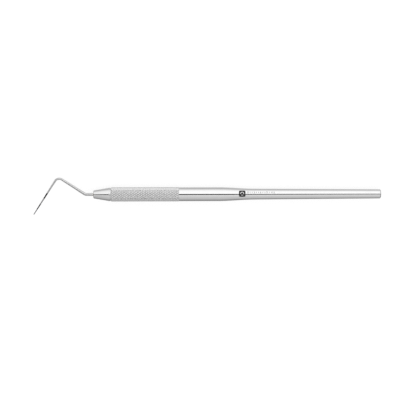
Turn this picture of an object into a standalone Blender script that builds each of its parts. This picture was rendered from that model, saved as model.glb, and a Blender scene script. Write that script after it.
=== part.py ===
"""Single-ended periodontal probe: a solid turned handle with a bent, tapered working end soldered into its nose.

+X runs along the handle from the nose to the tail, and +Z is up. The probe lies on a table at Z = 0 with its handle
level: on its grip, and rolled until the knee of the working end touches the table too. The origin is on the table,
under the middle of the whole probe.
"""

import math

import bpy
from mathutils import Vector

MM = 0.001

# Handle, from the nose to the tail
HANDLE_LENGTH = 135.5 * MM
BAR_DIAMETER = 6.5 * MM  # the bar that it is turned from, still seen on the plain barrel
NOSE_DIAMETER = 3.8 * MM
NOSE_CHAMFER = 0.2 * MM
CONE_LENGTH = 7.6 * MM
CONE_STEP = 0.05 * MM  # how much less than the bar's radius the cone starts with
RELIEF_WIDTH = 0.4 * MM  # the groove that the knurling wheels run out into
RELIEF_DEPTH = 0.25 * MM
GRIP_LENGTH = 32.2 * MM
KNURL_RISE = 0.1 * MM  # how far knurling lifts the crests above the bar
GRIP_CHAMFER = 0.3 * MM
BARREL_LENGTH = 18.3 * MM
NECK_LENGTH = 17.0 * MM
TAIL_FRONT_DIAMETER = 5.1 * MM
TAIL_END_DIAMETER = 4.3 * MM
TAIL_CHAMFER = 0.45 * MM

# Working end, one tapered wire: a tang in the handle, a lead, a rising shank, a knee and the probe itself
STOCK_DIAMETER = 1.4 * MM
TIP_DIAMETER = 0.45 * MM
TANG_LENGTH = 12.0 * MM
LEAD_LENGTH = 3.8 * MM
SHANK_LENGTH = 15.5 * MM
SHANK_ANGLE = math.radians(32.5)
FIRST_BEND_RADIUS = 2.5 * MM
PROBE_LENGTH = 21.1 * MM
KNEE_ANGLE = math.radians(90)
KNEE_RADIUS = 2.3 * MM

# Black depth bands, set flush in grooves, as distances from the end of the probe
BANDS = {"depth_band_3_to_6": (3.0 * MM, 6.0 * MM), "depth_band_9_to_12": (9.0 * MM, 12.0 * MM)}
BAND_GROOVE_DEPTH = 0.06 * MM
BAND_GAP = 0.015 * MM  # clear space left round a band in its groove

# Silver solder that holds the tang in its blind bore
SOLDER_FILM = 0.1 * MM
SOLDER_FILLET = 0.35 * MM
SOLDER_EDGE = 0.03 * MM  # thickness where the fillet feathers out on the wire
SOLDER_GAP = 0.02 * MM  # clear space left on each side of the film
BORE_END_SPACE = 0.5 * MM
DRILL_POINT_ANGLE = math.radians(118)

# Fineness of the curved surfaces
HANDLE_SIDES = 48
RING_SIDES = 24
WIRE_BEVEL_RESOLUTION = 6
ARC_STEP = math.radians(9)
NECK_STEPS = 12
TIP_STEPS = 4
MERGE_DISTANCE = 0.001 * MM

# Sizes and places along the handle, from the nose face, that follow from the ones above
GRIP_RADIUS = BAR_DIAMETER / 2 + KNURL_RISE
BORE_RADIUS = STOCK_DIAMETER / 2 + SOLDER_FILM + 2 * SOLDER_GAP
CONE_END = NOSE_CHAMFER + CONE_LENGTH
GRIP_START = CONE_END + RELIEF_WIDTH
GRIP_END = GRIP_START + GRIP_LENGTH
NECK_START = GRIP_END + BARREL_LENGTH
NECK_END = NECK_START + NECK_LENGTH
TAIL_LENGTH = HANDLE_LENGTH - NECK_END

STEEL = {"color": (0.72, 0.72, 0.71, 1), "metallic": 1.0, "roughness": 0.22}
SATIN_STEEL = {"color": (0.66, 0.66, 0.65, 1), "metallic": 1.0, "roughness": 0.32}
SOLDER = {"color": (0.78, 0.76, 0.70, 1), "metallic": 1.0, "roughness": 0.4}
BLACK = {"color": (0.02, 0.02, 0.022, 1), "metallic": 0.0, "roughness": 0.45}


def clear_scene():
    for obj in list(bpy.data.objects):
        bpy.data.objects.remove(obj)


def make_collection(name):
    collection = bpy.data.collections.new(name)
    bpy.context.scene.collection.children.link(collection)
    return collection


def make_material(name, finish):
    material = bpy.data.materials.new(name)
    material.use_nodes = True
    shader = material.node_tree.nodes["Principled BSDF"]
    shader.inputs["Base Color"].default_value = finish["color"]
    shader.inputs["Metallic"].default_value = finish["metallic"]
    shader.inputs["Roughness"].default_value = finish["roughness"]
    material.diffuse_color = finish["color"]
    return material


def make_empty(name, collection, parent=None):
    empty = bpy.data.objects.new(name, None)
    empty.empty_display_size = 5 * MM
    collection.objects.link(empty)
    empty.parent = parent
    return empty


def make_turned(name, profile, closed, sides, material, collection, parent, spin=0.0):
    """A turned piece along its parent's X axis. The profile is a list of (distance along that axis, radius)."""
    mesh = bpy.data.meshes.new(name)
    points = [(radius, 0, along) for along, radius in profile]
    edges = [(i, i + 1) for i in range(len(points) - 1)]
    if closed:
        edges.append((len(points) - 1, 0))
    mesh.from_pydata(points, edges, [])
    mesh.materials.append(material)
    turned = bpy.data.objects.new(name, mesh)
    collection.objects.link(turned)
    turned.parent = parent
    turned.rotation_mode = "ZYX"
    turned.rotation_euler = (0, math.pi / 2, spin)
    screw = turned.modifiers.new("turn", "SCREW")
    screw.steps = sides
    screw.render_steps = sides
    screw.use_merge_vertices = True
    screw.merge_threshold = MERGE_DISTANCE
    screw.use_smooth_shade = True
    return turned


def neck_radius(share):
    """The radius of the neck, which leaves the barrel level and meets the tail at the tail's own slope."""
    start = BAR_DIAMETER / 2
    end = TAIL_FRONT_DIAMETER / 2
    end_slope = (TAIL_END_DIAMETER / 2 - end) / TAIL_LENGTH
    blend = share * share * (3 - 2 * share)
    return start + (end - start) * blend + NECK_LENGTH * end_slope * share * share * (share - 1)


def handle_profile():
    """From the tail face along the outside to the nose, and down the blind bore to its drilled point."""
    tail = [
        (HANDLE_LENGTH, 0),
        (HANDLE_LENGTH, TAIL_END_DIAMETER / 2 - TAIL_CHAMFER),
        (HANDLE_LENGTH - TAIL_CHAMFER, TAIL_END_DIAMETER / 2),
    ]
    shares = [1 - step / NECK_STEPS for step in range(NECK_STEPS + 1)]
    neck = [(NECK_START + NECK_LENGTH * share, neck_radius(share)) for share in shares]
    grip = [
        (GRIP_END, BAR_DIAMETER / 2),
        (GRIP_END - GRIP_CHAMFER, GRIP_RADIUS),
        (GRIP_START + GRIP_CHAMFER, GRIP_RADIUS),
        (GRIP_START, BAR_DIAMETER / 2 - RELIEF_DEPTH),
        (CONE_END, BAR_DIAMETER / 2 - RELIEF_DEPTH),
    ]
    nose = [
        (CONE_END, BAR_DIAMETER / 2 - CONE_STEP),
        (NOSE_CHAMFER, NOSE_DIAMETER / 2),
        (0, NOSE_DIAMETER / 2 - NOSE_CHAMFER),
    ]
    bore_end = TANG_LENGTH + BORE_END_SPACE
    bore = [
        (0, BORE_RADIUS),
        (bore_end, BORE_RADIUS),
        (bore_end + BORE_RADIUS / math.tan(DRILL_POINT_ANGLE / 2), 0),
    ]
    return tail + neck + grip + nose + bore


def arc_at(corner, before, after, radius):
    """Points of the arc that rounds a corner of a path, and the arc's centre."""
    back = (before - corner).normalized()
    onward = (after - corner).normalized()
    opening = back.angle(onward)
    centre = corner + (back + onward).normalized() * radius / math.sin(opening / 2)
    start = corner + back * radius / math.tan(opening / 2) - centre
    end = corner + onward * radius / math.tan(opening / 2) - centre
    steps = max(4, math.ceil((math.pi - opening) / ARC_STEP))
    points = [centre + radius * start.slerp(end, step / steps) for step in range(steps + 1)]
    return points, centre


def working_end_corners():
    """The corners of the working end in its own plane: X along the handle, Y towards the knee."""
    tang_end = Vector((TANG_LENGTH, 0))
    first_bend = Vector((-LEAD_LENGTH, 0))
    knee = first_bend + SHANK_LENGTH * Vector((-math.cos(SHANK_ANGLE), math.sin(SHANK_ANGLE)))
    probe_angle = SHANK_ANGLE + KNEE_ANGLE - math.pi
    tip = knee + PROBE_LENGTH * Vector((-math.cos(probe_angle), math.sin(probe_angle)))
    return tip, knee, first_bend, tang_end


def wire_path():
    """(place, distance from the tip) along the middle of the wire, from the tip to the end of the tang."""
    tip, knee, first_bend, tang_end = working_end_corners()
    knee_arc, knee_centre = arc_at(knee, tip, first_bend, KNEE_RADIUS)
    bend_arc, _ = arc_at(first_bend, knee, tang_end, FIRST_BEND_RADIUS)
    places = [tip, *knee_arc, *bend_arc, Vector((0, 0)), tang_end]
    path = [(tip, 0.0)]
    for place in places[1:]:
        last, distance = path[-1]
        path.append((place, distance + (place - last).length))
    return path, knee_centre


PATH, KNEE_CENTRE = wire_path()
NOSE_DISTANCE = PATH[-2][1]  # from the tip along the wire to where it enters the handle


def wire_radius(distance):
    """The wire tapers evenly from the nose to the tip, and the tang keeps the stock's diameter."""
    share = min(1.0, distance / NOSE_DISTANCE)
    return (TIP_DIAMETER + (STOCK_DIAMETER - TIP_DIAMETER) * share) / 2


def tip_dome():
    """(distance, radius) of the rounded end of the probe."""
    radius = TIP_DIAMETER / 2
    angles = [math.pi / 2 * (step + 1) / (TIP_STEPS + 1) for step in range(TIP_STEPS)]
    return [(radius * (1 - math.cos(angle)), radius * math.sin(angle)) for angle in angles]


def band_grooves():
    """(distance, radius) of the grooves that hold the bands. Their walls lean by one band gap."""
    groove = []
    for start, end in BANDS.values():
        groove.append((start, wire_radius(start)))
        groove.append((start + BAND_GAP, wire_radius(start) - BAND_GROOVE_DEPTH))
        groove.append((end - BAND_GAP, wire_radius(end) - BAND_GROOVE_DEPTH))
        groove.append((end, wire_radius(end)))
    return groove


def make_working_end(material, collection, parent):
    curve = bpy.data.curves.new("working_end", "CURVE")
    curve.dimensions = "3D"
    curve.bevel_depth = STOCK_DIAMETER / 2
    curve.bevel_resolution = WIRE_BEVEL_RESOLUTION
    curve.use_fill_caps = True
    curve.materials.append(material)
    tip, after_tip = PATH[0][0], PATH[1][0]
    along = (after_tip - tip).normalized()
    straight = tip_dome() + [(TIP_DIAMETER / 2, wire_radius(TIP_DIAMETER / 2))] + band_grooves()
    stations = [(tip + along * distance, radius) for distance, radius in straight]
    stations += [(place, wire_radius(distance)) for place, distance in PATH[1:]]
    spline = curve.splines.new("POLY")
    spline.points.add(len(stations) - 1)
    for point, (place, radius) in zip(spline.points, stations):
        point.co = (place.x, place.y, 0, 1)
        point.radius = radius / curve.bevel_depth
    wire = bpy.data.objects.new("working_end", curve)
    collection.objects.link(wire)
    wire.parent = parent
    return wire


def make_band(name, start, end, material, collection, tip_axis):
    first = start + 2 * BAND_GAP
    last = end - 2 * BAND_GAP
    inset = BAND_GROOVE_DEPTH - BAND_GAP
    profile = [
        (last, wire_radius(last)),
        (first, wire_radius(first)),
        (first, wire_radius(first) - inset),
        (last, wire_radius(last) - inset),
    ]
    return make_turned(name, profile, True, RING_SIDES, material, collection, tip_axis)


def make_solder(material, collection, parent):
    """The film round the tang, and the hollow fillet that shows round the wire on the nose face."""
    inner = STOCK_DIAMETER / 2 + SOLDER_GAP
    outer = BORE_RADIUS - SOLDER_GAP
    fillet_foot = inner + SOLDER_FILLET
    fillet_top = -SOLDER_GAP - SOLDER_FILLET
    angles = [math.pi / 2 * step / 6 for step in range(7)]
    hollow = [
        (
            fillet_top + SOLDER_FILLET * math.sin(angle),
            fillet_foot - (SOLDER_FILLET - SOLDER_EDGE) * math.cos(angle),
        )
        for angle in reversed(angles)
    ]
    profile = [
        (TANG_LENGTH, outer),
        (-SOLDER_GAP, outer),
        *hollow,
        (fillet_top, inner),
        (TANG_LENGTH, inner),
    ]
    return make_turned("solder_joint", profile, True, RING_SIDES, material, collection, parent)


def resting_roll():
    """The roll about the handle's axis that sets the knee down on the table that the grip lies on.

    A knee too low to reach the table hangs straight down.
    """
    table_depth = GRIP_RADIUS * math.cos(math.pi / HANDLE_SIDES)
    knee_radius = wire_radius(PROBE_LENGTH)
    knee_reach = KNEE_CENTRE.y + KNEE_RADIUS
    return math.asin(min(1.0, (table_depth - knee_radius) / knee_reach))


def stand_on_table(root, parts):
    """Moves the whole probe so that the origin is on the table, under the middle of its box."""
    bpy.context.view_layer.update()
    graph = bpy.context.evaluated_depsgraph_get()
    corners = []
    for part in parts:
        shape = part.evaluated_get(graph)
        mesh = shape.to_mesh()
        corners += [shape.matrix_world @ vertex.co for vertex in mesh.vertices]
        shape.to_mesh_clear()
    low = Vector([min(corner[axis] for corner in corners) for axis in range(3)])
    high = Vector([max(corner[axis] for corner in corners) for axis in range(3)])
    root.location = (-(low.x + high.x) / 2, -(low.y + high.y) / 2, -low.z)


def build():
    clear_scene()
    collection = make_collection("periodontal_probe")
    steel = make_material("polished_steel", STEEL)
    satin = make_material("satin_steel", SATIN_STEEL)
    solder = make_material("silver_solder", SOLDER)
    black = make_material("black_band", BLACK)

    root = make_empty("probe_root", collection)
    bend_plane = make_empty("bend_plane", collection, root)
    bend_plane.rotation_euler.x = -resting_roll()
    tip, after_tip = PATH[0][0], PATH[1][0]
    tip_axis = make_empty("tip_axis", collection, bend_plane)
    tip_axis.location = (tip.x, tip.y, 0)
    along = after_tip - tip
    tip_axis.rotation_euler.z = math.atan2(along.y, along.x)

    half_a_side = math.pi / HANDLE_SIDES  # a spin that lays a flat on the table
    handle = make_turned(
        "handle", handle_profile(), False, HANDLE_SIDES, steel, collection, root, half_a_side
    )
    working_end = make_working_end(satin, collection, bend_plane)
    solder_joint = make_solder(solder, collection, bend_plane)
    bands = [make_band(name, *span, black, collection, tip_axis) for name, span in BANDS.items()]
    stand_on_table(root, [handle, working_end, solder_joint, *bands])


build()
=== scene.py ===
import math

import bpy
from mathutils import Matrix, Vector


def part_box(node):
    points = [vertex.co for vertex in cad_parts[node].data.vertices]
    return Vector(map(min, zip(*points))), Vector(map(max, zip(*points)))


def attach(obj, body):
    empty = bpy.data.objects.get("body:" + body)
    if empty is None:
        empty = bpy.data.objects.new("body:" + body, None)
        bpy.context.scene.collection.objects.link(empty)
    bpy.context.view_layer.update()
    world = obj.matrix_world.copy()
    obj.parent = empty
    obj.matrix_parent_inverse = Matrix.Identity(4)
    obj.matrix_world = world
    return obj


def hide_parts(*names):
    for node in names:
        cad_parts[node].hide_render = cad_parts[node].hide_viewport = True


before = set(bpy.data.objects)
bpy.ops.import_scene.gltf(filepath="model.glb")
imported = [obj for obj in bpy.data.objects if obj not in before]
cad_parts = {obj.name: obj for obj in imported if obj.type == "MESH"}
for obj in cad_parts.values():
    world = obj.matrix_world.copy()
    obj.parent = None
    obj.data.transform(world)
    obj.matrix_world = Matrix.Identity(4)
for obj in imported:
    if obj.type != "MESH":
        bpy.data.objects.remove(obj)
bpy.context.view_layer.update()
print("frame loaded:", ", ".join(sorted(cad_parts)))

mm = 0.001
merge = 0.0005 * mm                         # points closer than this are joined
near = 0.01 * mm                            # how far off an end a point may lie
cornerSteps = 4                             # edges on a rounded corner
sharp = math.radians(30)                    # a steeper edge than this isn't shaded smooth

# The bench: every piece is modelled with the middle of the nose face at the origin, +X to the tail and the
# bends lying in the XY plane, knee to +Y. seat() then puts it on the frame. A band's place says how far the
# bends lean.
noseLow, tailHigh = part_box("handle")
noseCentre = Vector((noseLow.x, (noseLow.y + tailHigh.y) / 2, (noseLow.z + tailHigh.z) / 2))
handleLength = tailHigh.x - noseLow.x
bandLow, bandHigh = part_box("depth_band_3_to_6")
bandPlace = (bandLow + bandHigh) / 2 - noseCentre
lean = math.atan2(bandPlace.z, -bandPlace.y)
bench = Matrix.Translation(noseCentre) @ Matrix.Rotation(-lean, 4, "X")
print("bends lean", round(math.degrees(lean), 2), "degrees")


# Steps that every piece shares

def clearHands():
    if bpy.context.object and bpy.context.object.mode != "OBJECT":
        bpy.ops.object.mode_set(mode="OBJECT")
    bpy.ops.object.select_all(action="DESELECT")


def pickUp(*pieces):
    clearHands()
    for piece in pieces:
        piece.select_set(True)
    bpy.context.view_layer.objects.active = pieces[0]


def nameIt(name):
    piece = bpy.context.object
    piece.name = name
    piece.data.name = name
    return piece


def applyPlace(piece):
    pickUp(piece)
    bpy.ops.object.transform_apply(location=True, rotation=True, scale=True)


def closeUp(piece):                         # merges seams and poles, then turns the faces outwards
    pickUp(piece)
    bpy.ops.object.mode_set(mode="EDIT")
    bpy.ops.mesh.select_all(action="SELECT")
    bpy.ops.mesh.remove_doubles(threshold=merge)
    bpy.ops.mesh.normals_make_consistent(inside=False)
    bpy.ops.object.mode_set(mode="OBJECT")


def modify(piece, kind, **settings):
    pickUp(piece)
    modifier = piece.modifiers.new(kind.lower(), kind)
    for name, value in settings.items():
        setattr(modifier, name, value)
    bpy.ops.object.modifier_apply(modifier=modifier.name)


def combine(piece, other, operation):       # Boolean, and the other piece is used up
    modify(piece, "BOOLEAN", object=other, operation=operation, solver="EXACT")
    bpy.data.objects.remove(other)


def cutAcross(point, normal):               # in edit mode: an edge where a plane crosses the selected faces
    bpy.ops.mesh.select_all(action="SELECT")
    bpy.ops.mesh.bisect(plane_co=point, plane_no=normal)


def turned(name, profile, sides, start=(0, 0, 0), along=(1, 0, 0), out=(0, 1, 0)):
    # draws the outline by extruding one point, then spins it about the line through start
    start, along, out = Vector(start), Vector(along).normalized(), Vector(out).normalized()
    points = [start + along * far + out * radius for far, radius in profile]
    clearHands()
    bpy.ops.mesh.primitive_plane_add(size=mm, location=points[0])
    piece = nameIt(name)
    bpy.ops.object.mode_set(mode="EDIT")
    bpy.ops.mesh.merge(type="CENTER")
    for last, point in zip(points, points[1:]):
        bpy.ops.mesh.extrude_region_move(TRANSFORM_OT_translate={"value": point - last})
    bpy.ops.mesh.select_all(action="SELECT")
    bpy.ops.mesh.spin(steps=sides, angle=2 * math.pi, center=start, axis=along)
    applyPlace(piece)
    closeUp(piece)
    return piece


def seat(piece, material, node=None):
    pickUp(piece)
    piece.matrix_world = bench @ piece.matrix_world
    applyPlace(piece)
    bpy.ops.object.shade_smooth_by_angle(angle=sharp)
    piece.data.materials.clear()
    piece.data.materials.append(material)
    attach(piece, "root")
    if node:
        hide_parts(node)
    print("made", piece.name, "with", len(piece.data.polygons), "faces")


# Materials

class Link:                                 # wraps a socket, so that sums on it add their Math nodes
    def __init__(self, paint, socket):
        self.paint = paint
        self.socket = socket

    def maths(self, operation, *values):
        return self.paint.maths(operation, *values)

    def __add__(self, other):
        return self.maths("ADD", self, other)

    def __radd__(self, other):
        return self.maths("ADD", other, self)

    def __sub__(self, other):
        return self.maths("SUBTRACT", self, other)

    def __rsub__(self, other):
        return self.maths("SUBTRACT", other, self)

    def __mul__(self, other):
        return self.maths("MULTIPLY", self, other)

    def __rmul__(self, other):
        return self.maths("MULTIPLY", other, self)


class Paint:                                # one material and its nodes
    def __init__(self, name, **constants):
        self.material = bpy.data.materials.new(name)
        self.material.use_nodes = True
        self.tree = self.material.node_tree
        self.shader = self.tree.nodes["Principled BSDF"]
        for socket, value in constants.items():
            self.shader.inputs[socket.replace("_", " ")].default_value = value

    def node(self, kind, settings=None, inputs=None, output=0):
        made = self.tree.nodes.new("ShaderNode" + kind)
        for name, value in (settings or {}).items():
            if name == "stops":
                self.setStops(made.color_ramp, value)
            else:
                setattr(made, name, value)
        for name, value in (inputs or {}).items():
            self.plug(made.inputs[name], value)
        return Link(self, made.outputs[output])

    def setStops(self, ramp, stops):
        while len(ramp.elements) < len(stops):
            ramp.elements.new(1.0)
        for element, (place, grey) in zip(ramp.elements, stops):
            element.position = place
            element.color = (grey, grey, grey, 1)

    def plug(self, socket, value):
        if isinstance(value, Link):
            self.tree.links.new(value.socket, socket)
        else:
            socket.default_value = value

    def feed(self, name, value):
        self.plug(self.shader.inputs[name], value)

    def place(self, scale=(1, 1, 1)):       # bench coordinates in mm, stretched by scale
        fromObject = self.node("TexCoord", output="Object")
        size = [share / mm for share in scale]
        centred = self.node("VectorMath", {"operation": "SUBTRACT"}, {0: fromObject, 1: noseCentre})
        spun = self.node("VectorRotate", {"rotation_type": "X_AXIS"}, {"Vector": centred, "Angle": lean})
        return self.node("VectorMath", {"operation": "MULTIPLY"}, {0: spun, 1: size})

    def maths(self, operation, *values):
        return self.node("Math", {"operation": operation}, dict(enumerate(values)))

    def split(self, vector):                # into its three numbers
        parted = self.node("SeparateXYZ", {}, {0: vector})
        return [Link(self, output) for output in parted.socket.node.outputs]

    def noise(self, where, scale, detail, roughness=0.5):
        inputs = {"Vector": where, "Scale": scale, "Detail": detail, "Roughness": roughness}
        return self.node("TexNoise", {}, inputs)

    def ramp(self, value, stops):
        return self.node("ValToRGB", {"stops": stops}, {0: value})

    def curve(self, value, table):          # pairs of a value and its result, joined by straight lines
        low, high = table[0][0], table[-1][0]
        most = max(result for _, result in table)
        stops = [((place - low) / (high - low), result / most) for place, result in table]
        return self.ramp((value - low) * (1 / (high - low)), stops) * most

    def blend(self, share, first, second):
        return self.node("Mix", {"data_type": "RGBA"}, {0: share, 6: first, 7: second}, output=2)

    def bump(self, height, distance):
        return self.node("Bump", {}, {"Height": height, "Distance": distance, "Strength": 1.0})


handleFinish = {
    "clean": (0.64, 0.64, 0.64, 1),
    "dull": (0.54, 0.54, 0.54, 1),
    # the colour of the dirt and painted shade in the knurl's grooves
    "dirtAndShadeTone": (0.16, 0.155, 0.15, 1),
    "cloudsPerMm": 0.35,
    "cloudDulling": 0.4,
    "scratchGrain": (0.5, 9, 9),            # per mm, along the bar and across it
    "scratches": [(0.62, 0.0), (0.70, 1.0)],       # only the grain's highest spots
    "scratchDulling": 0.2,
    "scratchDepth": 0.3,                    # against a ring's
    "ringsPerMm": 14,
    "ringWaver": 0.12,
    "ringDepth": 0.0014 * mm,
    "ringDulling": 0.8,
    "ringClean": 0.35,                      # a ring of this height leaves the colour as it is
    # how strongly the dirt and painted shade darken the knurl's grooves
    "dirtAndShade": 0.04,
    "dirtAndShadeRise": [(0.0, 1.0), (0.25, 0.75), (0.6, 0.15), (1.0, 0.0)],      # painted shade and dirt, from a groove up to a crest
    "matt": [(-0.92, 0.0), (-0.56, 1.0), (0.48, 1.0), (0.56, 0.0)],        # mm past the cone's end
    "roughness": 0.08,
    "ringRoughness": 0.06,                  # this and the next ones are added to it
    "cloudRoughness": 0.03,
    "scratchRoughness": 0.05,
    "gripRoughness": 0.10,
    "dirtAndShadeRoughness": 0.2,
    "mattRoughness": 0.24,
}

tipFinish = {
    "clean": (0.52, 0.52, 0.52, 1),
    "dull": (0.43, 0.43, 0.43, 1),
    "cloudsPerMm": 0.8,
    "tinted": (0.28, 0.28, 0.29, 1),        # the probe darkens towards the tip
    "tintedLength": 16,
    "tint": [(0.0, 1.0), (0.6, 0.7), (1.0, 0.0)],
    "lineGrain": (3, 3, 30),
    "lineDepth": 0.0008 * mm,
    "lineRoughness": 0.14,
    "roughness": 0.20,
}

solderFinish = {
    "bright": (0.80, 0.77, 0.70, 1),
    "dull": (0.62, 0.59, 0.53, 1),
    "flowPerMm": 2.5,
    "flowDepth": 0.01 * mm,
    "flowRoughness": 0.2,
    "roughness": 0.28,
}

bandFinish = {
    "dark": (0.006, 0.006, 0.007, 1),
    "light": (0.022, 0.022, 0.023, 1),
    "specular": 0.2,
    "grainPerMm": 9.0,
    "grainBite": 0.6,
    "grainDepth": 0.003 * mm,
    "grainRoughness": 0.2,
    "roughness": 0.42,
}

markFinish = {
    "dark": (0.008, 0.008, 0.008, 1),
    "light": (0.035, 0.033, 0.031, 1),
    "specular": 0.15,
    "grainPerMm": 14.0,
    "grainBite": 0.7,
    "grainDepth": 0.002 * mm,
    "grainRoughness": 0.25,
    "roughness": 0.45,
}


def handleSteel():
    look = handleFinish
    paint = Paint("handleSteel", Metallic=1.0)
    where = paint.place()
    far, side, up = paint.split(where)
    radius = paint.maths("SQRT", side * side + up * up)
    waver = look["ringWaver"]               # the lathe tool's lines run round the bar, and waver a little
    cut = {"X": (far + radius) * look["ringsPerMm"], "Y": side * waver, "Z": up * waver}
    rings = paint.noise(paint.node("CombineXYZ", {}, cut), 1.0, 3.0, 0.6)
    clouds = paint.noise(where, look["cloudsPerMm"], 3.0)
    scratch = paint.curve(paint.noise(paint.place(look["scratchGrain"]), 1.0, 4.0, 0.65), look["scratches"])
    inGrip = paint.maths("GREATER_THAN", far, gripStart / mm) * paint.maths("LESS_THAN", far, gripEnd / mm)
    height = (radius - grooveRadius / mm) * (mm / knurl["depth"])
    # dirt with painted shade: darkest at a groove's bottom, fading out towards the crests, only on the grip
    dirtAndShade = paint.ramp(height, look["dirtAndShadeRise"]) * inGrip
    matt = paint.curve(far - coneEnd / mm, look["matt"])

    dulling = clouds * look["cloudDulling"] + scratch * look["scratchDulling"]
    dulling = dulling + (rings - look["ringClean"]) * look["ringDulling"]
    steel = paint.blend(dulling, look["clean"], look["dull"])
    # the grooves' dirt and painted shade darken the steel's colour
    paint.feed("Base Color", paint.blend(dirtAndShade * look["dirtAndShade"], steel, look["dirtAndShadeTone"]))

    polish = look["roughness"] + (rings - 0.5) * look["ringRoughness"]
    polish = polish + (clouds - 0.5) * look["cloudRoughness"] + scratch * look["scratchRoughness"]
    polish = polish + inGrip * look["gripRoughness"] + dirtAndShade * look["dirtAndShadeRoughness"]
    paint.feed("Roughness", polish + matt * look["mattRoughness"])
    paint.feed("Normal", paint.bump(rings + scratch * look["scratchDepth"], look["ringDepth"]))
    return paint.material


def tipSteel():
    look = tipFinish
    paint = Paint("tipSteel", Metallic=1.0)
    where = paint.place()
    far, side, _ = paint.split(where)
    lines = paint.noise(paint.place(look["lineGrain"]), 1.0, 3.0, 0.6)
    clouds = paint.noise(where, look["cloudsPerMm"], 3.0)
    fromTip = (tip.x / mm - far) * towardsTip.x + (tip.y / mm - side) * towardsTip.y
    tint = paint.ramp(fromTip * (1 / look["tintedLength"]), look["tint"])
    steel = paint.blend(clouds, look["clean"], look["dull"])
    paint.feed("Base Color", paint.blend(tint, steel, look["tinted"]))
    paint.feed("Roughness", look["roughness"] + (lines - 0.5) * look["lineRoughness"])
    paint.feed("Normal", paint.bump(lines, look["lineDepth"]))
    return paint.material


def silverSolder():
    look = solderFinish
    paint = Paint("silverSolder", Metallic=1.0)
    flow = paint.noise(paint.place(), look["flowPerMm"], 3.0)
    paint.feed("Base Color", paint.blend(flow, look["bright"], look["dull"]))
    paint.feed("Roughness", look["roughness"] + flow * look["flowRoughness"])
    paint.feed("Normal", paint.bump(flow, look["flowDepth"]))
    return paint.material


def blackFilm(name, look):
    paint = Paint(name, Specular_IOR_Level=look["specular"])
    grain = paint.noise(paint.place(), look["grainPerMm"], 4.0, look["grainBite"])
    paint.feed("Base Color", paint.blend(grain, look["dark"], look["light"]))
    paint.feed("Roughness", look["roughness"] + grain * look["grainRoughness"])
    paint.feed("Normal", paint.bump(grain, look["grainDepth"]))
    return paint.material


# Handle: a turned bar, thinner under the grip, and a knurled rod that is joined to it there

handle = {
    "barRadius": 3.25 * mm,
    "noseRadius": 1.9 * mm,
    "noseRound": 0.2 * mm,
    "coneLength": 7.6 * mm,
    "coneStep": 0.05 * mm,
    "reliefWidth": 0.4 * mm,
    "reliefDepth": 0.25 * mm,
    "gripLength": 32.2 * mm,
    "gripChamfer": 0.3 * mm,
    "barrelLength": 18.3 * mm,
    "neckLength": 17.0 * mm,
    "tailFrontRadius": 2.55 * mm,
    "tailEndRadius": 2.15 * mm,
    "tailChamfer": 0.45 * mm,
    "edgeRound": 0.06 * mm,
    "frontRound": 0.03 * mm,                # from the grip's end to the bore
    "boreRadius": 0.84 * mm,
    "boreDepth": 12.5 * mm,
    "drillPoint": 0.5 * mm,
    "neckSteps": 36,
    "sides": 160,
}

knurl = {
    "starts": 22,                           # grooves of each hand round the grip
    "rows": 20,
    "rise": 0.1 * mm,                       # crests above the bar
    "depth": 0.21 * mm,
    "lines": (0.22, 0.45, 0.72),            # edges on a crest's side, as shares of the way down to its groove
    "curve": 1.5,                           # 1 is a straight side, and more is a rounder crest
    "turn": 0.25,                           # shares of a start
    "coreGap": 0.06 * mm,                   # the bar under the knurl stays this far below its grooves
    "overlap": 0.01 * mm,
}

coneEnd = handle["noseRound"] + handle["coneLength"]
gripStart = coneEnd + handle["reliefWidth"]
gripEnd = gripStart + handle["gripLength"]
neckStart = gripEnd + handle["barrelLength"]
neckEnd = neckStart + handle["neckLength"]
gripRadius = handle["barRadius"] + knurl["rise"]
grooveRadius = gripRadius - knurl["depth"]


def outerRadius(far):                       # of the barrel, the neck and the tail
    slope = (handle["tailEndRadius"] - handle["tailFrontRadius"]) / (handleLength - neckEnd)
    if far <= neckStart:
        return handle["barRadius"]
    if far >= neckEnd:
        return handle["tailFrontRadius"] + slope * (far - neckEnd)
    share = (far - neckStart) / handle["neckLength"]
    blend = share * share * (3 - 2 * share)
    drop = handle["tailFrontRadius"] - handle["barRadius"]
    return handle["barRadius"] + drop * blend + handle["neckLength"] * slope * share * share * (share - 1)


def rounded(corner, before, after, radius):                # a short curve in place of an outline's corner
    corner, before, after = Vector(corner), Vector(before), Vector(after)
    back, onward = (before - corner).normalized(), (after - corner).normalized()
    reach = radius / math.tan(back.angle(onward) / 2)
    start, end = corner + back * reach, corner + onward * reach
    points = []
    for step in range(cornerSteps + 1):
        share = step / cornerSteps
        points.append(start.lerp(corner, share).lerp(corner.lerp(end, share), share))
    return [tuple(point) for point in points]


def softOutline(corners, radius):           # rounds every inner corner by the same small radius
    made = [corners[0]]
    for before, corner, after in zip(corners, corners[1:], corners[2:]):
        made += rounded(corner, before, after, radius)
    return made + [corners[-1]]


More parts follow.
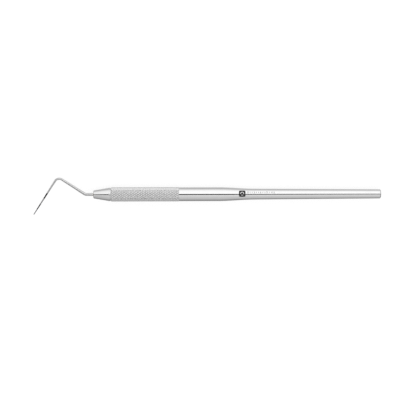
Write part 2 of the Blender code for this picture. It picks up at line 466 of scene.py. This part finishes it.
def handleOutline():
    bar, core = handle["barRadius"], grooveRadius - knurl["coreGap"]
    chamfer = handle["tailChamfer"]
    inTail = handleLength - 5 * chamfer     # past the rounding of the chamfer's edge
    tail = softOutline([
        (handleLength, 0),
        (handleLength, handle["tailEndRadius"] - chamfer),
        (handleLength - chamfer, handle["tailEndRadius"]),
        (inTail, outerRadius(inTail)),
    ], handle["edgeRound"])
    steps = handle["neckSteps"]
    neck = [neckEnd + (neckStart - neckEnd) * step / steps for step in range(steps + 1)]
    shaft = [(far, outerRadius(far)) for far in neck]
    front = softOutline([
        (gripEnd + 1 * mm, bar),
        (gripEnd, bar),
        (gripEnd, core),
        (gripStart, core),
        (gripStart, bar - handle["reliefDepth"]),
        (coneEnd, bar - handle["reliefDepth"]),
        (coneEnd, bar - handle["coneStep"]),
        (handle["noseRound"], handle["noseRadius"]),
        (0, handle["noseRadius"] - handle["noseRound"]),
        (0, handle["boreRadius"]),
        (handle["boreDepth"], handle["boreRadius"]),
        (handle["boreDepth"] + handle["drillPoint"], 0),
    ], handle["frontRound"])
    return tail + shaft + front


def knurlTile():
    # A quarter of a tile faces -Y. A groove runs across it, and the two corners off the groove are crests.
    long, wide = handle["gripLength"] / knurl["rows"], 2 * math.pi * grooveRadius / knurl["starts"]
    clearHands()
    bpy.ops.mesh.primitive_plane_add(size=1, rotation=(math.pi / 2, 0, 0))
    tile = nameIt("knurlTile")
    tile.scale = (long / 2, wide / 2, 1)
    tile.location = (long / 4, 0, wide / 4)
    applyPlace(tile)
    groove = Vector((long / 2, 0, 0))
    across = Vector((wide, 0, long)).normalized()
    flat = knurl["lines"][0]
    bpy.ops.object.mode_set(mode="EDIT")
    for line in [*knurl["lines"], 1, *(2 - line for line in knurl["lines"])]:
        cutAcross(groove * line, across)
    bpy.ops.object.mode_set(mode="OBJECT")
    reach = across.dot(groove)
    for vertex in tile.data.vertices:
        share = 1 - abs(1 - across.dot(vertex.co) / reach)     # 0 on a crest, 1 in the groove
        drop = (max(0, share - flat) / (1 - flat)) ** knurl["curve"]
        vertex.co.y = -knurl["depth"] * (1 - drop)
    modify(tile, "MIRROR", use_axis=(True, False, True), merge_threshold=merge)
    return tile, long, wide


def knurledRod():
    rod, long, wide = knurlTile()
    rod.name = "knurledRod"
    joined = {"use_relative_offset": False, "use_constant_offset": True, "use_merge_vertices": True}
    joined["merge_threshold"] = merge
    modify(rod, "ARRAY", count=knurl["starts"], constant_offset_displace=(0, 0, wide), **joined)
    modify(rod, "ARRAY", count=knurl["rows"], constant_offset_displace=(long, 0, 0), **joined)
    rod.location = (0, 0, -wide * (knurl["starts"] - 1) / 2)
    applyPlace(rod)
    modify(rod, "SIMPLE_DEFORM", deform_method="BEND", deform_axis="X", angle=2 * math.pi)
    rod.location = (gripStart + long / 2, -grooveRadius, 0)
    applyPlace(rod)
    closeUp(rod)
    bpy.ops.object.mode_set(mode="EDIT")
    for end in (gripStart, gripEnd):        # a flat cap on each end
        bpy.ops.mesh.select_all(action="DESELECT")
        bpy.ops.object.mode_set(mode="OBJECT")
        for vertex in rod.data.vertices:
            vertex.select = abs(vertex.co.x - end) < near
        bpy.ops.object.mode_set(mode="EDIT")
        bpy.ops.mesh.edge_face_add()
    bpy.ops.object.mode_set(mode="OBJECT")
    closeUp(rod)
    rod.rotation_euler.x = knurl["turn"] * 2 * math.pi / knurl["starts"]
    applyPlace(rod)
    return rod


def makeHandle():
    bar = turned("handle_body", handleOutline(), handle["sides"])
    rod = knurledRod()
    chamfer, overlap = handle["gripChamfer"], knurl["overlap"]
    envelope = turned("envelope", [
        (gripStart, 0),
        (gripStart, handle["barRadius"] - handle["reliefDepth"]),
        (gripStart + chamfer, gripRadius + overlap),
        (gripEnd - chamfer, gripRadius + overlap),
        (gripEnd, handle["barRadius"] - overlap),
        (gripEnd, 0),
    ], handle["sides"])
    combine(rod, envelope, "INTERSECT")
    combine(bar, rod, "UNION")
    closeUp(bar)
    seat(bar, handleSteel(), "handle")


# Working end: one tapered wire, grown ring by ring from the tang to the tip

wire = {
    "tangRadius": 0.7 * mm,
    "tipRadius": 0.225 * mm,
    "tang": 12.0 * mm,
    "lead": 3.8 * mm,
    "shank": 15.5 * mm,
    "shankAngle": math.radians(32.5),
    "firstBend": 2.5 * mm,
    "probe": 21.1 * mm,
    "knee": math.radians(90),
    "kneeBend": 2.3 * mm,
    "tangChamfer": 0.07 * mm,
    "sides": 48,
    "bendStep": math.radians(4),
    "shankSteps": 4,
    "domeSteps": 7,
    "domeEnd": 0.1,                         # the last ring's share of the one before it
}

bands = {
    "depth_band_3_to_6": (3 * mm, 6 * mm),
    "depth_band_9_to_12": (9 * mm, 12 * mm),
}
bandGroove = 0.06 * mm
bandGap = 0.015 * mm
bandRound = 0.008 * mm

firstCut = wire["firstBend"] * math.tan(wire["shankAngle"] / 2)       # what a bend takes off each leg
kneeCut = wire["kneeBend"] * math.tan(wire["knee"] / 2)
leadRun = wire["lead"] - firstCut
shankRun = wire["shank"] - firstCut - kneeCut
probeRun = wire["probe"] - kneeCut
wireLength = (leadRun + wire["firstBend"] * wire["shankAngle"] + shankRun
              + wire["kneeBend"] * wire["knee"] + probeRun)
firstCorner = Vector((-wire["lead"], 0, 0))
towardsKnee = Vector((-math.cos(wire["shankAngle"]), math.sin(wire["shankAngle"]), 0))
kneeCorner = firstCorner + wire["shank"] * towardsKnee
probeAngle = wire["shankAngle"] - wire["knee"]
towardsTip = Vector((-math.cos(probeAngle), math.sin(probeAngle), 0))
tip = kneeCorner + wire["probe"] * towardsTip


def wireRadius(fromTip):
    return wire["tipRadius"] + (wire["tangRadius"] - wire["tipRadius"]) * min(1, fromTip / wireLength)


class Wire:                                 # the ring at the growing end, and how far from the tip it is
    def __init__(self, start, heading, radius, fromTip):
        self.centre = Vector(start)
        self.heading = heading              # the angle from -X towards +Y
        self.radius = radius
        self.fromTip = fromTip

    def size(self, radius):
        bpy.ops.transform.resize(value=[radius / self.radius] * 3, center_override=self.centre)
        self.radius = radius

    def straight(self, length, radius=None):
        move = length * Vector((-math.cos(self.heading), math.sin(self.heading), 0))
        bpy.ops.mesh.extrude_region_move(TRANSFORM_OT_translate={"value": move})
        self.centre += move
        self.fromTip -= length
        self.size(radius or wireRadius(self.fromTip))

    def bend(self, angle, bendRadius):      # a positive angle turns from -X towards +Y
        side = math.copysign(1, angle)
        hub = self.centre + side * bendRadius * Vector((math.sin(self.heading), math.cos(self.heading), 0))
        steps = math.ceil(abs(angle) / wire["bendStep"])
        for _ in range(steps):
            turn = -angle / steps           # anticlockwise
            bpy.ops.mesh.extrude_region_move()
            bpy.ops.transform.rotate(value=-turn, orient_axis="Z", center_override=hub)
            self.centre = hub + Matrix.Rotation(turn, 3, "Z") @ (self.centre - hub)
            self.heading += angle / steps
            self.fromTip -= abs(angle) / steps * bendRadius
            self.size(wireRadius(self.fromTip))


def makeWorkingEnd():
    chamfer = wire["tangChamfer"]
    back = wire["tangRadius"] - chamfer
    clearHands()
    bpy.ops.mesh.primitive_circle_add(vertices=wire["sides"], radius=back, fill_type="NGON",
                                      location=(wire["tang"], 0, 0), rotation=(0, math.pi / 2, 0))
    piece = nameIt("probe_wire")
    applyPlace(piece)
    bpy.ops.object.mode_set(mode="EDIT")
    bpy.ops.mesh.select_all(action="SELECT")
    ring = Wire((wire["tang"], 0, 0), 0, back, wireLength + wire["tang"])
    ring.straight(chamfer, wire["tangRadius"])
    ring.straight(wire["tang"] - chamfer)
    ring.straight(leadRun)
    ring.bend(wire["shankAngle"], wire["firstBend"])
    for _ in range(wire["shankSteps"]):
        ring.straight(shankRun / wire["shankSteps"])
    ring.bend(-wire["knee"], wire["kneeBend"])
    for start, end in sorted(bands.values(), reverse=True):
        ring.straight(ring.fromTip - end)
        ring.straight(bandGap, wireRadius(end) - bandGroove)
        ring.straight(end - start - 2 * bandGap, wireRadius(start) - bandGroove)
        ring.straight(bandGap, wireRadius(start))
    ring.straight(ring.fromTip - wire["tipRadius"])
    dome = ring.radius
    for step in range(1, wire["domeSteps"] + 1):
        angle = math.pi / 2 * step / (wire["domeSteps"] + 1)
        ring.straight(ring.fromTip - dome * (1 - math.sin(angle)), dome * math.cos(angle))
    ring.straight(ring.fromTip, ring.radius * wire["domeEnd"])
    bpy.ops.mesh.merge(type="CENTER")
    closeUp(piece)
    seat(piece, tipSteel(), "working_end")


def makeBand(name, start, end):
    first, last = start + 2 * bandGap, end - 2 * bandGap
    inset = bandGroove - bandGap
    middle = ((first + last) / 2, wireRadius((first + last) / 2))
    outline = softOutline([
        middle,
        (last, wireRadius(last)),
        (last, wireRadius(last) - inset),
        (first, wireRadius(first) - inset),
        (first, wireRadius(first)),
        middle,
    ], bandRound)
    band = turned(name + "_ring", outline, wire["sides"], tip, -towardsTip, (0, 0, 1))
    seat(band, blackFilm("bandBlack", bandFinish), name)


# Solder: the film round the tang, and the fillet that shows on the nose face

solder = {
    "gap": 0.002 * mm,                      # so small that it looks fused to the wire and the nose
    "fillet": 0.35 * mm,
    "edge": 0.03 * mm,
    "filletSteps": 12,
    "sides": 96,
}


def makeSolder():
    gap, fillet = solder["gap"], solder["fillet"]
    inner, outer = wire["tangRadius"] + gap, handle["boreRadius"] - gap
    steps = solder["filletSteps"]
    hollow = []
    for step in range(steps + 1):
        angle = math.pi / 2 * (1 - step / steps)
        hollow.append((-gap - fillet + fillet * math.sin(angle),
                       inner + fillet - (fillet - solder["edge"]) * math.cos(angle)))
    outline = [(wire["tang"], inner), (wire["tang"], outer), (-gap, outer), *hollow, (-gap - fillet, inner)]
    piece = turned("solder_fillet", outline + [outline[0]], solder["sides"])
    seat(piece, silverSolder(), "solder_joint")


# Laser mark: a plain badge and a 12 mm scale with the bands' depths, laid out flat and then wrapped on the
# neck. While it is flat, x runs along the handle, and y runs round it, from the line that is uppermost on the
# bench to the knee's side.

mark = {
    "badgeStart": 68.55 * mm,
    "badgeHalf": 1.55 * mm,
    "badgeMiddle": 0.24 * mm,
    "badgeSquareness": 6,                   # 2 is a circle
    "badgeSides": 64,
    "hole": 0.86 * mm,
    "dot": 0.60 * mm,
    "dotSides": 32,
    "scaleStart": 72.8 * mm,
    "scaleBase": 0.36 * mm,
    "step": 1.0 * mm,
    "tickWidth": 0.18 * mm,
    "tickHeight": 0.60 * mm,
    "digits": (0, 3, 6, 9, 12),             # with two ticks between each and the next
    "digitHeight": 0.92 * mm,
    "fontHeight": 0.7,                      # a digit's height as a share of its font's size
    "slice": 0.16 * mm,                     # between the cuts that let it follow the round neck
    "badgeSlice": 0.48 * mm,
    "lift": 0.004 * mm,
    "film": 0.008 * mm,
}


def markBadge():
    half, hole = mark["badgeHalf"], mark["hole"]
    middle = Vector((mark["badgeStart"] + half, mark["badgeMiddle"], 0))
    clearHands()
    bpy.ops.mesh.primitive_circle_add(vertices=mark["badgeSides"], radius=half, location=middle)
    badge = nameIt("laser_mark")
    bpy.ops.object.mode_set(mode="EDIT")
    bpy.ops.mesh.select_all(action="SELECT")
    bpy.ops.mesh.extrude_region_move()
    bpy.ops.transform.resize(value=[hole / half] * 3, center_override=middle)
    bpy.ops.object.mode_set(mode="OBJECT")
    power = mark["badgeSquareness"]
    for vertex in badge.data.vertices:      # the outer ring becomes a square with round corners
        along, across = abs(vertex.co.x) / half, abs(vertex.co.y) / half
        if math.hypot(along, across) > (1 + hole / half) / 2:
            vertex.co *= (along ** power + across ** power) ** (-1 / power)
    clearHands()
    bpy.ops.mesh.primitive_circle_add(vertices=mark["dotSides"], radius=mark["dot"], fill_type="NGON",
                                      location=middle)
    return [badge, nameIt("dot")]


def markScale():
    start, base, step = mark["scaleStart"], mark["scaleBase"], mark["step"]
    apart = {"use_relative_offset": False, "use_constant_offset": True}
    clearHands()
    bpy.ops.mesh.primitive_plane_add(size=1, location=(start + step, base + mark["digitHeight"] / 2, 0))
    ticks = nameIt("ticks")
    ticks.scale = (mark["tickWidth"], mark["tickHeight"], 1)
    applyPlace(ticks)
    modify(ticks, "ARRAY", count=2, constant_offset_displace=(step, 0, 0), **apart)
    modify(ticks, "ARRAY", count=len(mark["digits"]) - 1, constant_offset_displace=(3 * step, 0, 0), **apart)
    pieces = [ticks]
    for number in mark["digits"]:
        clearHands()
        bpy.ops.object.text_add(location=(start + number * step, base, 0))
        text = bpy.context.object
        text.data.body = str(number)
        text.data.align_x = "CENTER"
        text.data.size = mark["digitHeight"] / mark["fontHeight"]
        bpy.ops.object.convert(target="MESH")
        pieces.append(nameIt("digit"))
    return pieces


def makeMark():
    pieces = markBadge() + markScale()
    for piece in pieces:
        applyPlace(piece)
    pickUp(*pieces)
    bpy.ops.object.join()
    sheet = nameIt("laser_mark")
    bpy.ops.object.mode_set(mode="EDIT")
    heights = [vertex.co.y for vertex in sheet.data.vertices]
    low, high = min(heights), max(heights)
    for count in range(1, int((high - low) / mark["slice"]) + 1):
        cutAcross((0, low + count * mark["slice"], 0), (0, 1, 0))
    for count in range(1, int(2 * mark["badgeHalf"] / mark["badgeSlice"]) + 1):
        cutAcross((mark["badgeStart"] + count * mark["badgeSlice"], 0, 0), (1, 0, 0))
    bpy.ops.mesh.select_all(action="DESELECT")
    bpy.ops.object.mode_set(mode="OBJECT")
    for face in sheet.data.polygons:        # every face is turned up
        face.select = face.normal.z < 0
    bpy.ops.object.mode_set(mode="EDIT")
    bpy.ops.mesh.flip_normals()
    bpy.ops.object.mode_set(mode="OBJECT")
    for vertex in sheet.data.vertices:
        radius = outerRadius(vertex.co.x)
        angle = vertex.co.y / radius
        vertex.co.y = (radius + mark["lift"]) * math.sin(angle)
        vertex.co.z = (radius + mark["lift"]) * math.cos(angle)
    modify(sheet, "SOLIDIFY", thickness=mark["film"], offset=1)
    closeUp(sheet)
    seat(sheet, blackFilm("markBlack", markFinish))


makeHandle()
makeWorkingEnd()
for name, (start, end) in bands.items():
    makeBand(name, start, end)
makeSolder()
makeMark()


# Stage

stage = {
    "frameWidth": 188.7 * mm,               # how much of the bends' plane the camera sees
    "lens": 150,
    "middle": Vector((50.24 * mm, -2.72 * mm, 0)),        # the point of the bench it looks at
    "roll": math.radians(0.12),
    "floorSize": 6,
    "floorShade": 0.15,
    "floorGlow": 0.85,
    "worldGlow": 0.9,
}

tent = {
    "radius": 1.0,
    "length": 3.2,
    "glow": [                               # degrees from the camera towards the knee's side, and how bright
        (-180, 0.30), (-150, 0.50), (-122, 0.35), (-104, 0.62), (-84, 0.82), (-60, 0.90), (-30, 1.05),
        (-18, 1.25), (-14, 1.25), (-13.5, 0.03), (3, 0.03), (4, 1.40), (12, 1.65), (60, 1.58), (70, 1.38),
        (85, 1.15), (100, 0.82), (118, 0.68), (135, 0.95), (150, 0.80), (165, 0.45), (180, 0.30),
    ],
    "along": [                              # mm from the nose towards the tail, and its share of that
        (-1700, 0.70), (-700, 0.78), (-400, 0.85), (-100, 1.0), (1700, 1.0),
    ],
}

fill = {
    "size": 1.6,
    "height": 1.5,
    "glow": 1.3,
}


def makeFloor():
    clearHands()
    bpy.ops.mesh.primitive_plane_add(size=stage["floorSize"])
    floor = nameIt("floor")
    paint = Paint("floorWhite", Roughness=0.9, Specular_IOR_Level=0.1, Emission_Strength=stage["floorGlow"])
    paint.feed("Base Color", [stage["floorShade"]] * 3 + [1])
    floor.data.materials.append(paint.material)
    floor.visible_glossy = False            # the steel mirrors the tent alone


def makeCamera():
    data = bpy.data.cameras.new("camera")
    data.type = "PERSP"
    data.lens = stage["lens"]
    data.clip_start = 0.01
    camera = bpy.data.objects.new("camera", data)
    bpy.context.scene.collection.objects.link(camera)
    distance = stage["frameWidth"] * data.lens / data.sensor_width
    look = Matrix.Translation(stage["middle"] + Vector((0, 0, distance)))
    camera.matrix_world = bench @ look @ Matrix.Rotation(-stage["roll"], 4, "Z")
    bpy.context.scene.camera = camera


def makeTent():
    # a light tent round the handle's axis, brighter on the knee's side, with a dark slot for the camera
    clearHands()
    bpy.ops.mesh.primitive_cylinder_add(vertices=96, radius=tent["radius"], depth=tent["length"],
                                        end_fill_type="NGON", rotation=(0, math.pi / 2, 0))
    piece = nameIt("lightTent")
    applyPlace(piece)
    piece.matrix_world = bench
    applyPlace(piece)
    piece.visible_camera = False
    piece.visible_shadow = False
    paint = Paint("tentGlow")
    far, across, up = paint.split(paint.place())
    angle = paint.maths("ARCTAN2", across, up) * (180 / math.pi)
    glow = paint.curve(angle, tent["glow"]) * paint.curve(far, tent["along"])
    emission = paint.node("Emission", {}, {"Strength": glow})
    paint.tree.links.new(emission.socket, paint.tree.nodes["Material Output"].inputs["Surface"])
    piece.data.materials.append(paint.material)


def makeFill():
    # an even light from above that polished steel doesn't mirror
    data = bpy.data.lights.new("fill", "AREA")
    data.size = fill["size"]
    data.energy = fill["glow"] * math.pi * fill["size"] ** 2
    light = bpy.data.objects.new("fill", data)
    light.location = (0, 0, fill["height"])
    light.visible_camera = False
    light.visible_glossy = False
    bpy.context.scene.collection.objects.link(light)


def makeWorld():
    world = bpy.data.worlds.new("studio")
    bpy.context.scene.world = world
    world.use_nodes = True
    world.node_tree.nodes["Background"].inputs["Color"].default_value = [stage["worldGlow"]] * 3 + [1]


makeFloor()
makeCamera()
makeTent()
makeFill()
makeWorld()
bpy.context.scene.view_settings.view_transform = "Standard"
bpy.context.scene.cycles.use_denoising = False        # it would wipe out the knurl
print("stage set")
